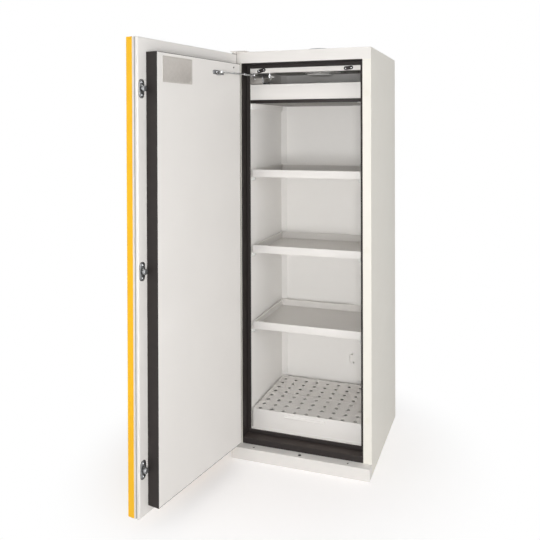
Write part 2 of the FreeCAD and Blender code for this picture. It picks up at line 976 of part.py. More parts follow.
def latch_plates():
    plates = []
    y0 = leaf_back
    y1 = leaf_back + latch_plate_thickness
    for level in latch_levels:
        plate = slot_prism(latch_x, level, latch_plate_width, latch_plate_height, y0, y1)
        plate = plate.cut(latch_slot(level, y0, y1))
        screws = []
        for side in (-1, 1):
            spot = Vector(latch_x, y1, level + side * latch_screw_spacing / 2)
            screws.append(bar(latch_screw_radius, spot, spot + Vector(0, latch_screw_height, 0)))
        plates.append(joined([plate] + screws))
    return group(plates)


# Lever and lock

def handle_plate():
    x = lever_x
    low = lever_height - lever_plate_below
    high = lever_height + lever_plate_above
    plate = box(x - lever_plate_width / 2, x + lever_plate_width / 2, lever_y, leaf_front, low, high)
    plate = plate.makeFillet(lever_plate_round, edges_before(plate, lever_y))
    for z, radius in ((lever_height, lever_spindle_radius), (lock_height, lock_radius)):
        spot = Vector(x, lever_y, z)
        plate = plate.cut(bar(radius + turn_clearance, spot, spot + Vector(0, lever_plate_thickness, 0)))
    return plate


def door_handle():
    # The grip hangs down while the door is latched.
    spot = Vector(lever_x, lever_y - lever_face_gap, lever_height)
    end = spot - Vector(0, lever_boss_length, 0)
    boss = bar(lever_boss_radius, end, spot)
    spindle_end = Vector(lever_x, leaf_front + lever_spindle_length, lever_height)
    spindle = bar(lever_spindle_radius, spot, spindle_end)
    grip_y = end.y + lever_grip_radius
    start = Vector(lever_x, grip_y, lever_height)
    tip = start - Vector(0, 0, lever_length)
    grip = bar(lever_grip_radius, start, tip)
    knob = Part.makeSphere(lever_grip_radius, tip)
    return joined([boss, spindle, grip, knob])


def lock_cylinder():
    start = Vector(lever_x, lever_y - lock_proud, lock_height)
    barrel = bar(lock_radius, start, Vector(lever_x, leaf_front + lock_length, lock_height))
    across = lock_slot_width / 2
    rise = lock_slot_length / 2
    depth = start.y + lock_slot_depth
    slot = box(lever_x - across, lever_x + across, start.y, depth, lock_height - rise, lock_height + rise)
    return barrel.cut(slot)


# Insulating block

def block_box(inset, y0, y1):
    return box(block_left + inset, block_right - inset, y0, y1, block_bottom + inset, block_top - inset)


def block_face():
    front = block_back - block_rim
    panel = block_box(block_face_inset, front, block_back)
    panel = panel.makeFillet(block_rim_radius, edges_behind(panel, block_back))
    return panel.cut(block_box(block_face_inset + skin, front, block_back - skin))


def block_sides():
    # Ring round the block. Its thin lip comes up beside the folded edge of the white cover.
    front = block_back - block_rim
    ring = block_box(0, leaf_back, front).cut(block_box(block_side_thickness, leaf_back, front))
    top = block_back - block_side_drop
    lip = block_box(0, front, top).cut(block_box(block_face_inset, front, top))
    return joined([ring, lip])


def block_core():
    front = block_back - block_rim
    deep = block_box(block_side_thickness, leaf_back, front)
    top = block_box(block_face_inset + skin, front, block_back - skin)
    return joined([deep, top])


def data_plate():
    y0 = block_back
    plate = box(plate_left, plate_right, y0, y0 + plate_thickness, plate_bottom, plate_top)
    rivets = []
    for x in (plate_left + rivet_inset, plate_right - rivet_inset):
        for z in (plate_bottom + rivet_inset, plate_top - rivet_inset):
            spot = Vector(x, y0 + plate_thickness, z)
            rivets.append(bar(rivet_radius, spot, spot + Vector(0, rivet_height, 0)))
    return joined([plate] + rivets)


def stay_door_bracket():
    y0 = block_back
    y1 = y0 + stay_plate_thickness
    radius = stay_plate_height / 2
    z = stay_door_level
    left = stay_door_x - stay_plate_inner + radius
    right = stay_door_x + stay_plate_outer - radius
    pieces = [box(left, right, y0, y1, z - radius, z + radius)]
    for x in (left, right):
        pieces.append(bar(radius, Vector(x, y0, z), Vector(x, y1, z)))
    half = stay_arm_width / 2
    low = z - stay_ball_radius - stay_ball_gap - stay_arm_thickness
    tip = y0 + stay_standoff + half
    pieces.append(box(stay_door_x - half, stay_door_x + half, y0, tip, low, low + stay_arm_thickness))
    return joined(pieces)


# Telescopic stay. It is laid out along its own line from the swivel to the door.

def swing(point):
    turn = FreeCAD.Rotation(Vector(0, 0, 1), -door_open_angle)
    return hinge_axis + turn.multVec(point - hinge_axis)


stay_pivot = Vector(stay_pivot_x, stay_pivot_y, stay_pivot_level)
stay_ball_closed = Vector(stay_door_x, block_back + stay_standoff, stay_door_level)
stay_ball = swing(stay_ball_closed)
stay_way = (stay_ball - stay_pivot).normalize()
stay_turn_axis = stay_way.cross(stay_ball_closed - stay_pivot).normalize()
stay_span = (stay_ball - stay_pivot).Length
stay_closed_span = (stay_ball_closed - stay_pivot).Length
stay_stroke = (stay_span - stay_closed_span) / 3
stay_tube_length = stay_closed_span - stay_fitting - stay_end_gap


def along_stay(distance):
    return stay_pivot + stay_way * distance


def stay_radius(stage):
    return stay_rod_radius + stage * (stay_tube_wall + stay_clearance)


def stay_tube(stage, start):
    outer = bar(stay_radius(stage), along_stay(start), along_stay(start + stay_tube_length))
    bore = stay_radius(stage) - stay_tube_wall
    return outer.cut(bar(bore, along_stay(start), along_stay(start + stay_tube_length)))


def stay_outer_tube():
    tube = stay_tube(3, stay_fitting)
    neck = bar(stay_radius(3), along_stay(stay_fitting - stay_neck), along_stay(stay_fitting))
    tongue = bar(stay_tongue_radius, along_stay(stay_pin_radius), along_stay(stay_fitting))
    low = stay_pivot - stay_turn_axis * (stay_eye_height / 2)
    high = stay_pivot + stay_turn_axis * (stay_eye_height / 2)
    eye = bar(stay_eye_radius, low, high)
    whole = joined([tube, neck, tongue, eye])
    return whole.cut(bar(stay_pin_radius + turn_clearance, low, high))


def stay_middle_tube():
    return stay_tube(2, stay_fitting + stay_stroke + stay_stop_gap)


def stay_inner_tube():
    return stay_tube(1, stay_fitting + 2 * (stay_stroke + stay_stop_gap))


def stay_rod():
    start = stay_fitting + 3 * (stay_stroke + stay_stop_gap)
    rod = bar(stay_rod_radius, along_stay(start), along_stay(stay_span))
    ball = Part.makeSphere(stay_ball_radius, stay_ball)
    return joined([rod, ball])


body_pieces = {
    "side_panel_left": side_panel_left,
    "side_panel_right": side_panel_right,
    "roof_panel": roof_panel,
    "rear_panel": rear_panel,
    "header_rail": header_rail,
    "base_pan": base_pan,
    "sill_box": sill_box,
    "seal_bottom": seal_bottom,
    "seal_top": seal_top,
    "seal_left": seal_left,
    "seal_right": seal_right,
    "board_left": board_left,
    "board_right": board_right,
    "board_rear": board_rear,
    "board_top": board_top,
    "board_floor": board_floor,
    "liner_left": liner_left,
    "liner_right": liner_right,
    "liner_rear": liner_rear,
    "liner_ceiling": liner_ceiling,
    "liner_floor": liner_floor,
    "lintel": lintel,
    "lintel_caps": lintel_caps,
    "fascia_panel": fascia_panel,
    "air_grille": air_grille,
    "release_housing": release_housing,
    "exhaust_spigot": exhaust_spigot,
    "valve_frame": valve_frame,
    "supply_duct": supply_duct,
    "shelf_rests": shelf_rests,
    "hinge_plate": hinge_plate,
    "floor_pin": floor_pin,
    "keepers": keepers,
    "stay_wall_bracket": stay_wall_bracket,
    "levelling_feet": levelling_feet,
    "exhaust_valve": exhaust_valve,
    "spill_tray": spill_tray,
    "tray_insert": tray_insert,
    "stay_outer_tube": stay_outer_tube,
    "stay_middle_tube": stay_middle_tube,
    "stay_inner_tube": stay_inner_tube,
    "stay_rod": stay_rod,
}

door_pieces = {
    "door_skin": door_skin,
    "door_inner_pan": door_inner_pan,
    "door_edge_seal": door_edge_seal,
    "door_core": door_core,
    "hinge_blocks": hinge_blocks,
    "latch_bar": latch_bar,
    "latch_plates": latch_plates,
    "handle_plate": handle_plate,
    "door_handle": door_handle,
    "lock_cylinder": lock_cylinder,
    "block_face": block_face,
    "block_sides": block_sides,
    "block_core": block_core,
    "data_plate": data_plate,
    "stay_door_bracket": stay_door_bracket,
}


def save(name, shape):
    placed = shape.copy()
    placed.translate(Vector(0, front_shift, 0))
    placed.exportStep("parts/" + name + ".step")
    print(name, len(placed.Solids), "solid(s)", round(placed.Volume / 1000.0, 1), "cm3", placed.isValid())


os.makedirs("parts", exist_ok=True)
for name, make in body_pieces.items():
    save(name, make())
for name, level in zip(("shelf_lower", "shelf_middle", "shelf_upper"), shelf_levels):
    save(name, shelf(level))
for name, make in door_pieces.items():
    piece = make()
    piece.rotate(hinge_axis, Vector(0, 0, 1), -door_open_angle)
    save(name, piece)
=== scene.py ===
import json
import math

import bmesh
import bpy
from mathutils import Matrix, Vector


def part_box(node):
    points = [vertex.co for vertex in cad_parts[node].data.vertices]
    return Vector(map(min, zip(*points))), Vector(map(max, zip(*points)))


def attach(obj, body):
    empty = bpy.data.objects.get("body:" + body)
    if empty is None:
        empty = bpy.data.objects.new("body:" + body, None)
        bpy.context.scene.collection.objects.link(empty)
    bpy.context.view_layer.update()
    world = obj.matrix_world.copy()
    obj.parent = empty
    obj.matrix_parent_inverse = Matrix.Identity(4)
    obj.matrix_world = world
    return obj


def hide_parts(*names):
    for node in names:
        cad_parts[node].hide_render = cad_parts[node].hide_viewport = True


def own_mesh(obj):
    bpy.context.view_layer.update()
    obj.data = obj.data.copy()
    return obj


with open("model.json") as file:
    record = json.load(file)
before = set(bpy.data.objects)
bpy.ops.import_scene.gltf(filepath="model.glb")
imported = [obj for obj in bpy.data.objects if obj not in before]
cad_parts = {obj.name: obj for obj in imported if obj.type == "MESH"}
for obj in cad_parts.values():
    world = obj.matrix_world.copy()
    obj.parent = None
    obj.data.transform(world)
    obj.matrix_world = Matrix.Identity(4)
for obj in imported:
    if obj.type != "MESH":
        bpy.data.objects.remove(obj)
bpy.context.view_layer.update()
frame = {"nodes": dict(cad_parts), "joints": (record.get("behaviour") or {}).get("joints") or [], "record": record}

MM = 0.001


# Colours and shader nodes

def linear(hex_colour):
    # sRGB hex to the linear colour that a shader takes.
    channels = []
    for at in (0, 2, 4):
        c = int(hex_colour[at:at + 2], 16) / 255
        channels.append(c / 12.92 if c <= 0.04045 else ((c + 0.055) / 1.055) ** 2.4)
    return (*channels, 1.0)


def add(tree, kind, values=None, links=None, **settings):
    # Shader node with its settings, socket values and incoming links.
    made = tree.nodes.new("ShaderNode" + kind)
    for key, value in settings.items():
        setattr(made, key, value)
    for key, value in (values or {}).items():
        made.inputs[key].default_value = value
    for key, socket in (links or {}).items():
        tree.links.new(socket, made.inputs[key])
    return made


def new_material(name):
    # Empty node tree and the object coordinates that its patterns are laid out in.
    material = bpy.data.materials.new(name)
    material.use_nodes = True
    tree = material.node_tree
    tree.nodes.clear()
    place = add(tree, "TexCoord").outputs["Object"]
    return material, tree, place


def close(material, tree, shader):
    add(tree, "OutputMaterial", links={"Surface": shader.outputs[0]})
    return material


def mottle(tree, place, size_mm, stretch=(1, 1, 1), detail=3.0):
    # Noise whose blotches are about size_mm across, longer along a stretched axis.
    scale = tuple(1 / (size_mm * MM * s) for s in stretch)
    spread = add(tree, "Mapping", {"Scale": scale}, {"Vector": place})
    noise = add(tree, "TexNoise", {"Scale": 1.0, "Detail": detail}, {"Vector": spread.outputs[0]})
    return noise.outputs["Fac"]


def span(tree, value, low, high):
    # Spreads the middle of a noise over the range from low to high.
    limits = {"From Min": 0.3, "From Max": 0.7, "To Min": low, "To Max": high}
    return add(tree, "MapRange", limits, {"Value": value}).outputs[0]


def shade(tree, value, dark, light):
    colours = {"A": linear(dark), "B": linear(light)}
    return add(tree, "Mix", colours, {"Factor": value}, data_type="RGBA", clamp_factor=True).outputs["Result"]


def relief(tree, height, strength, distance_mm, edge_mm=None):
    # Bump from a height, over sheet edges that look rounded by edge_mm.
    links = {"Height": height}
    if edge_mm:
        links["Normal"] = add(tree, "Bevel", {"Radius": edge_mm * MM}, samples=4).outputs[0]
    return add(tree, "Bump", {"Strength": strength, "Distance": distance_mm * MM}, links).outputs[0]


def enamel(name, dark, light, roughness):
    # Baked powder coat: a faint orange peel, slightly uneven gloss and softly rounded sheet edges.
    material, tree, place = new_material(name)
    shader = add(tree, "BsdfPrincipled", links={
        "Base Color": shade(tree, mottle(tree, place, 220), dark, light),
        "Roughness": span(tree, mottle(tree, place, 60), roughness - 0.04, roughness + 0.05),
        "Normal": relief(tree, mottle(tree, place, 1.6, detail=1.0), 0.05, 0.2, 0.8)})
    return close(material, tree, shader)


def metal(name, dark, light, roughness, grain_mm, stretch=(1, 1, 1), scratch=0.15):
    # Plated or drawn metal: fine grain along one way and a cloudy, slightly uneven shine.
    material, tree, place = new_material(name)
    grain = mottle(tree, place, grain_mm, stretch, 4.0)
    shader = add(tree, "BsdfPrincipled", {"Metallic": 1.0}, {
        "Base Color": shade(tree, mottle(tree, place, 12), dark, light),
        "Roughness": span(tree, grain, roughness - 0.06, roughness + 0.08),
        "Normal": relief(tree, grain, scratch, 0.05, 0.4)})
    return close(material, tree, shader)


def matt(name, dark, light, roughness, grain_mm, bump=0.3, top_highlight=None):
    # Rubber, plastic or board: matt, finely uneven, and, when a highlight colour is given, paler on level faces as
    # a painted highlight of the light from above.
    material, tree, place = new_material(name)
    colour = shade(tree, mottle(tree, place, 35), dark, light)
    # Painted highlight: faces that look up are mixed towards the paler colour, as if lit from above.
    if top_highlight:
        normal = add(tree, "NewGeometry").outputs["Normal"]
        upward = add(tree, "SeparateXYZ", {}, {0: normal}).outputs["Z"]
        limits = {"From Min": 0.3, "From Max": 0.95, "To Max": 0.8}
        lit_from_above = add(tree, "MapRange", limits, {"Value": upward}).outputs[0]
        highlighted = add(tree, "Mix", {"B": linear(top_highlight)}, {"Factor": lit_from_above, "A": colour},
                    data_type="RGBA", clamp_factor=True)
        colour = highlighted.outputs["Result"]
    normal = relief(tree, mottle(tree, place, grain_mm), bump, 0.1)
    shader = add(tree, "BsdfPrincipled", {"Roughness": roughness}, {"Base Color": colour, "Normal": normal})
    return close(material, tree, shader)


# Warm white sheet of the trays, rails and the inside of the door.
white_enamel = enamel("white_powder_coat", "E6E3DF", "ECE9E5", 0.42)
# Cleaner and brighter copy of the white: painted light that lifts the bays between the shelves.
brightened_lining_enamel = enamel("white_powder_coat_lining_painted_light", "F4F2EF", "F9F7F4", 0.42)
# Creamy and slightly duller white of the outer sheets.
side_enamel = enamel("white_powder_coat_outside", "EBE8DF", "F1EEE5", 0.5)
# Strong signal yellow, the one colour on the cabinet.
yellow_enamel = enamel("yellow_powder_coat", "FDBE06", "FFC60E", 0.5)
# Mid grey, painted shade of the shadowed top of the compartment, that lets the perforated ceiling and the release
# case stand out.
shaded_grey_enamel = enamel("grey_powder_coat_painted_shade", "8F8B86", "9C9893", 0.45)
# Brown black outline of the opening, greyer on its level steps, where a highlight from above is painted.
seal_rubber = matt("dark_seal_profile", "181210", "241C19", 0.66, 0.6, top_highlight="3F3733")
# Dull grey line between the yellow skin and the white pan.
strip_rubber = matt("grey_swelling_strip", "9A9794", "AEABA7", 0.75, 0.8)
# Chalky board, seen only where a sheet is taken off.
board_fibre = matt("gypsum_fibre_board", "C4C0B8", "D2CEC6", 0.9, 2.0)
# Soft grey shine of the latch plates and hinge parts.
zinc_steel = metal("zinc_plated_steel", "8E8F90", "ADAEAF", 0.34, 0.5, (1, 1, 8))
# Nearly black washers and screws.
dark_steel = metal("black_zinc_plated_steel", "3B3936", "4E4B47", 0.42, 0.5)
# Clear highlights on the stay, the screws and the edge strip.
bright_steel = metal("polished_steel", "C9CACB", "DDDEDF", 0.16, 0.4, (6, 1, 1), 0.08)
# Cloudy grey of the exhaust spigot.
galvanised = metal("galvanised_sheet", "A6A9AB", "C2C5C7", 0.4, 6.0, scratch=0.05)
# Fine upright brushing of the blank plate.
satin_aluminium = metal("satin_aluminium", "C4BFB9", "D2CDC8", 0.4, 0.3, (14, 14, 1), 0.06)
# Deep black of the lever and its plate.
black_plastic = matt("black_moulded_plastic", "141414", "1E1E1F", 0.45, 0.5)
# Flaps that all but vanish in the stile.
flap_rubber = matt("white_rubber_flap", "EAE7DC", "F0EDE2", 0.55, 0.6, bump=0.1)
# Plain white of the shelf clips.
white_plastic = matt("white_moulded_plastic", "E2E2DF", "EBEBE8", 0.42, 0.6, bump=0.1)

FINISH = {
    "white_enamel": white_enamel,
    "yellow_enamel": yellow_enamel,
    "grey_enamel": shaded_grey_enamel,
    "dark_seal": seal_rubber,
    "edge_seal": strip_rubber,
    "fire_board": board_fibre,
    "zinc_steel": zinc_steel,
    "bright_steel": bright_steel,
    "black_plastic": black_plastic,
    "white_plastic": white_plastic,
    "plate_aluminium": satin_aluminium,
    "galvanised": galvanised,
}
OUTSIDE = ("side_panel_left", "side_panel_right", "roof_panel", "rear_panel")
LINING = ("liner_left", "liner_right", "liner_rear", "liner_floor", "supply_duct", "exhaust_valve")

SLOT = {entry["node"]: entry["material_slot"] for entry in frame["record"]["subparts"]}
for name, slot in SLOT.items():
    finish = FINISH[slot]
    if name in OUTSIDE:
        finish = side_enamel
    elif name in LINING:
        finish = brightened_lining_enamel
    coats = frame["nodes"][name].data.materials
    coats.clear()
    coats.append(finish)


# Frames the pieces are drawn in
#
# Pieces are drawn in millimetres: X from the middle of the width, Y from the front plane of
# the body, Z from the floor, with the door closed. They are then moved into the frame, and
# those on the door are swung open about its pins.

FRONT_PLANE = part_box("header_rail")[0].y
hinge = next(joint for joint in frame["joints"] if joint["name"] == "door_hinge")
HINGE_POINT = Vector(hinge["pos_m"])
OPEN_ANGLE = math.radians(hinge["range_deg"][0])
OPENED = Matrix.Rotation(OPEN_ANGLE, 4, "Z")
SWING = Matrix.Translation(HINGE_POINT) @ OPENED @ Matrix.Translation(-HINGE_POINT)
TO_FRAME = Matrix.Translation((0, FRONT_PLANE, 0)) @ Matrix.Scale(MM, 4)
TO_OPEN_DOOR = SWING @ TO_FRAME


def drawn_box(node, to_frame=TO_FRAME):
    # Lowest and highest corner of a node, in drawing millimetres.
    back = to_frame.inverted()
    points = [back @ vertex.co for vertex in frame["nodes"][node].data.vertices]
    low = Vector([min(p[i] for p in points) for i in range(3)])
    high = Vector([max(p[i] for p in points) for i in range(3)])
    return low, high


# Mesh tools

def bridge(bm, rings, cap_first=True, cap_last=True, closed=False):
    # Skins a row of rings that all have the same number of points.
    loops = [[bm.verts.new(point) for point in ring] for ring in rings]
    pairs = list(zip(loops, loops[1:]))
    if closed:
        pairs.append((loops[-1], loops[0]))
    for first, second in pairs:
        for i, corner in enumerate(first):
            after = (i + 1) % len(first)
            bm.faces.new((corner, first[after], second[after], second[i]))
    if cap_first and not closed:
        bm.faces.new(list(reversed(loops[0])))
    if cap_last and not closed:
        bm.faces.new(loops[-1])


def oval(wide, deep, steps):
    # Points round the origin, counter-clockwise.
    turns = [math.tau * i / steps for i in range(steps)]
    return [(wide * math.cos(angle), deep * math.sin(angle)) for angle in turns]


def facing(axis, spot):
    # Turns +Z to the given direction and moves the origin to the spot.
    turn = Vector((0, 0, 1)).rotation_difference(Vector(axis)).to_matrix().to_4x4()
    return Matrix.Translation(spot) @ turn


def turned(bm, spot, axis, profile, steps=24, closed=False):
    # Lathe work: profile is (radius, distance along the axis) from one end to the other.
    place = facing(axis, spot)
    rings = []
    for radius, along in profile:
        rings.append([place @ Vector((x, y, along)) for x, y in oval(radius, radius, steps)])
    bridge(bm, rings, closed=closed)


def rounded_outline(width, height, radius, steps):
    # Rectangle round the origin with rounded corners.
    points = []
    for side_x, side_y, start in ((1, -1, -90), (1, 1, 0), (-1, 1, 90), (-1, -1, 180)):
        for i in range(steps + 1):
            angle = math.radians(start + 90 * i / steps)
            x = side_x * (width / 2 - radius) + radius * math.cos(angle)
            y = side_y * (height / 2 - radius) + radius * math.sin(angle)
            points.append((x, y))
    return points


def pressed(bm, place, width, height, radius, section, steps=4):
    # Rounded rectangles lofted through a section of (inset from the outline, level) pairs.
    rings = []
    for inset, level in section:
        corner = max(radius - inset, 0.2)
        outline = rounded_outline(width - 2 * inset, height - 2 * inset, corner, steps)
        rings.append([place @ Vector((x, y, level)) for x, y in outline])
    bridge(bm, rings)


def on_top(low, high):
    # Level place over the middle of a box, starting at its lowest level.
    return Matrix.Translation(((low.x + high.x) / 2, (low.y + high.y) / 2, low.z))


def on_front(low, high, level):
    # Place that faces forward: its x runs right, its y up and its level towards the front.
    turn = Matrix.Rotation(math.radians(90), 4, "X")
    return Matrix.Translation(((low.x + high.x) / 2, level, (low.z + high.z) / 2)) @ turn


def on_back(low, high, level):
    # Place on a face that looks back, as the inner side of the closed door does.
    turn = Matrix.Rotation(math.radians(-90), 4, "X")
    return Matrix.Translation(((low.x + high.x) / 2, level, (low.z + high.z) / 2)) @ turn


def soft_block(bm, low, high, radius, steps=2):
    # Block with all its edges rounded.
    made = bmesh.ops.create_cube(bm, size=1.0)
    low, high = Vector(low), Vector(high)
    middle = (low + high) / 2
    size = high - low
    for vert in made["verts"]:
        vert.co = Vector([middle[i] + vert.co[i] * size[i] for i in range(3)])
    edges = list({edge for vert in made["verts"] for edge in vert.link_edges})
    bmesh.ops.bevel(bm, geom=edges, offset=radius, segments=steps, profile=0.5, affect="EDGES",
                    clamp_overlap=True)


def screw_head(bm, spot, axis, radius, height):
    # Pan head with a pressed cross in its top.
    place = facing(axis, spot)
    steps = 16
    cross = (0.62, 0.3, 0.2, 0.3) * 4
    rings = []
    for reaches, level in (([1.0] * steps, 0), ([1.0] * steps, 0.35), ([0.9] * steps, 0.8),
                           ([0.72] * steps, 1.0), (cross, 1.0), (cross, 0.3)):
        points = zip(reaches, oval(radius, radius, steps))
        rings.append([place @ Vector((share * x, share * y, height * level)) for share, (x, y) in points])
    bridge(bm, rings)


def holed_cell(bm, low, high, hole, radius, parts, dimple):
    # One cell of the sheet round one hole. Each of its four sides is split into as many parts as
    # the quarter of the rim that faces it.
    corners = [(low.x, low.y), (high.x, low.y), (high.x, high.y), (low.x, high.y)]
    edge = []
    angles = []
    for k, here in enumerate(corners):
        after = corners[(k + 1) % 4]
        first = math.atan2(here[1] - hole[1], here[0] - hole[0])
        last = math.atan2(after[1] - hole[1], after[0] - hole[0])
        if last < first:
            last += math.tau
        for i in range(parts):
            share = i / parts
            edge.append((here[0] + share * (after[0] - here[0]), here[1] + share * (after[1] - here[1])))
            angles.append(first + share * (last - first))
    rim = [(radius, high.z - dimple), (radius, low.z)]
    if dimple:
        rim.insert(0, (radius + dimple, high.z))
    rings = [[(x, y, high.z) for x, y in edge]]
    for reach, z in rim:
        rings.append([(hole[0] + reach * math.cos(a), hole[1] + reach * math.sin(a), z) for a in angles])
    rings.append([(x, y, low.z) for x, y in edge])
    bridge(bm, rings, cap_first=False, cap_last=False)


def holed_sheet(bm, low, high, columns, rows, radius, hole_at=(0.5, 0.5), parts=2, dimple=0.0):
    # Sheet in which each cell of a grid has one round hole, with its rim pressed down a little.
    step_x = (high.x - low.x) / columns
    step_y = (high.y - low.y) / rows
    for column in range(columns):
        for row in range(rows):
            corner = Vector((low.x + column * step_x, low.y + row * step_y, low.z))
            across = Vector((corner.x + step_x, corner.y + step_y, high.z))
            hole = (corner.x + hole_at[0] * step_x, corner.y + hole_at[1] * step_y)
            holed_cell(bm, corner, across, hole, radius, parts, dimple)


def finish_piece(name, bm, material, body, replaced=(), to_frame=TO_FRAME, sharp=40):
    # Turns the drawn mesh into a named piece that rides on its body.
    bmesh.ops.remove_doubles(bm, verts=bm.verts, dist=0.001)
    bmesh.ops.recalc_face_normals(bm, faces=bm.faces)
    bm.transform(to_frame)
    mesh = bpy.data.meshes.new(name)
    bm.to_mesh(mesh)
    bm.free()
    mesh.shade_smooth()
    mesh.set_sharp_from_angle(angle=math.radians(sharp))
    mesh.materials.append(material)
    piece = bpy.data.objects.new(name, mesh)
    bpy.context.scene.collection.objects.link(piece)
    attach(piece, body)
    if replaced:
        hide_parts(*replaced)
    return piece


# Seal frame, shelves and trays

def seal_frame():
    # Stepped rubber frame, mitred in its corners: lip, recess, joint groove and ledge.
    # Each step is the inset at sides and top, the inset at the bottom and the depth.
    low = drawn_box("seal_left")[0]
    high = drawn_box("seal_right")[1]
    steps = [(0, 0, 0), (0, 0, 52), (19, 41, 52), (19, 41, 47.4), (18.5, 40.4, 46.4), (17.6, 39.6, 46),
             (4.8, 26.8, 46), (4.4, 26.4, 48.6), (3, 25, 48.6), (3, 25, 2.6), (2.6, 24.4, 1.1),
             (1.8, 23.4, 0.3), (0.8, 22.0, 0)]
    rings = []
    for side, foot, depth in steps:
        left, right = low.x + side, high.x - side
        bottom, top = low.z + foot, high.z - side
        rings.append([(left, depth, bottom), (right, depth, bottom), (right, depth, top), (left, depth, top)])
    bm = bmesh.new()
    bridge(bm, rings, closed=True)
    finish_piece("seal_frame", bm, seal_rubber, "cabinet",
                 ("seal_bottom", "seal_top", "seal_left", "seal_right"), sharp=50)


def shelf_tray(node, body):
    # Pressed tray: rounded foot, upright edge, rim turned in with its lip turned down.
    low, high = drawn_box(node)
    tall = high.z - low.z
    section = [(3.0, 0), (1.6, 0.2), (0.4, 1.2), (0, 2.8), (0, tall - 1.8), (0.4, tall - 0.6), (1.6, tall),
               (8.0, tall), (8.8, tall - 0.4), (9.0, tall - 1.2), (9.0, tall - 5), (7.8, tall - 5),
               (7.8, tall - 1.4), (1.4, tall - 1.4), (1.2, 2.8), (2.8, 1.2)]
    bm = bmesh.new()
    pressed(bm, on_top(low, high), high.x - low.x, high.y - low.y, 5.0, section)
    finish_piece(node + "_pressed", bm, white_enamel, body, (node,))


def spill_tray_pressed():
    # Deep tray with a hemmed top edge and a pull lip that leans out at its foot.
    low, high = drawn_box("spill_tray")
    front = low.y + 3.0
    tall = high.z - low.z
    section = [(3.6, 0), (1.6, 0.4), (0.4, 1.6), (0, 3.6), (0, tall - 1.4), (0.2, tall - 0.5), (0.75, tall),
               (1.3, tall - 0.5), (1.5, tall - 1.4), (1.5, 3.6), (3.4, 1.5)]
    tray_low = Vector((low.x, front, low.z))
    bm = bmesh.new()
    pressed(bm, on_top(tray_low, high), high.x - low.x, high.y - front, 4.0, section)
    lip_low = Vector((-96, low.y, 154))
    lip_high = Vector((85, front, 167))
    lip = [(0, -0.3), (0, 0.6), (0.3, 1.6), (1.0, 2.2), (2.4, 2.6), (4.2, 2.2), (5.4, 1.6)]
    lean = Matrix.Rotation(math.radians(-26), 4, "X")
    pressed(bm, on_front(lip_low, lip_high, front - 2.4) @ lean, lip_high.x - lip_low.x,
            lip_high.z - lip_low.z, 5.6, lip)
    finish_piece("spill_tray_pressed", bm, white_enamel, "tray", ("spill_tray",))


def tray_insert_punched():
    # Lift-out insert: 72 punched holes, side walls turned down and a joint ridge half way back.
    low, high = drawn_box("tray_insert")
    sheet = 1.5
    bm = bmesh.new()
    holed_sheet(bm, Vector((low.x, low.y, high.z - sheet)), high, 9, 8, 7.5, hole_at=(0.5, 0.25), parts=4,
                dimple=0.8)
    for left in (low.x, high.x - sheet):
        soft_block(bm, (left, low.y, low.z), (left + sheet, high.y, high.z - 1.4), 0.3)
    middle = (low.y + high.y) / 2
    soft_block(bm, (low.x + 3, middle - 1.3, high.z - 0.4), (high.x - 3, middle + 1.3, high.z + 0.6), 0.4)
    finish_piece("tray_insert_punched", bm, white_enamel, "insert", ("tray_insert",))


def shelf_clips():
    # White moulded clips that carry the shelves: a rounded body with a slot in its nose.
    half = 7
    wall, reach = 250, 18
    nose = [(0.6, -14), (0, -13), (0, -1.2), (0.4, -0.4), (1.4, 0), (3.0, 0), (3.4, -0.6), (3.6, -7),
            (3.8, -7.4)]
    bm = bmesh.new()
    for node in ("shelf_lower", "shelf_middle", "shelf_upper"):
        level = drawn_box(node)[0].z - 7.3
        for left in (-wall, wall - reach):
            for y in (72.0, 400.0):
                low = Vector((left, y - half, level - half))
                high = Vector((left + reach, y + half, level + half))
                pressed(bm, on_front(low, high, low.y), reach, 2 * half, 5.0, nose)
    finish_piece("shelf_clips", bm, white_plastic, "cabinet", ("shelf_rests",))


# Upper compartment

def perforated_ceiling():
    low, high = drawn_box("air_grille")
    bm = bmesh.new()
    holed_sheet(bm, low, high, 42, 38, 3.1)
    finish_piece("perforated_ceiling", bm, shaded_grey_enamel, "cabinet", ("air_grille",))


def ceiling_rails():
    # Folded rails on both side walls that the perforated sheet lies on.
    sheet = drawn_box("air_grille")[0].z
    bm = bmesh.new()
    for near, far in ((-250, -242), (242, 250)):
        soft_block(bm, (near, 61, sheet - 24), (far, 446, sheet - 0.4), 1.2)
    finish_piece("ceiling_rails", bm, brightened_lining_enamel, "cabinet")


def fascia_cover():
    # Folded cover of the plenum with soft folds, and the dark strip that closes the gap under it.
    low, high = drawn_box("fascia_panel")
    front, back, top = low.y, high.y, high.z
    foot = 1527.0
    outline = [(back, foot), (front + 2, foot), (front + 0.6, foot + 0.6), (front, foot + 2),
               (front, top - 2), (front + 0.6, top - 0.6), (front + 2, top), (back, top),
               (back, top - 1.2), (front + 2.4, top - 1.2), (front + 1.2, top - 2.4),
               (front + 1.2, foot + 2.4), (front + 2.4, foot + 1.2), (back, foot + 1.2)]
    bm = bmesh.new()
    bridge(bm, [[(x, y, z) for y, z in outline] for x in (low.x, high.x)])
    finish_piece("fascia_cover", bm, white_enamel, "cabinet", ("fascia_panel",))
    strip = bmesh.new()
    soft_block(strip, (low.x + 0.5, front + 0.4, low.z), (high.x - 0.5, front + 2.4, foot), 0.5)
    finish_piece("fascia_strip", strip, seal_rubber, "cabinet")


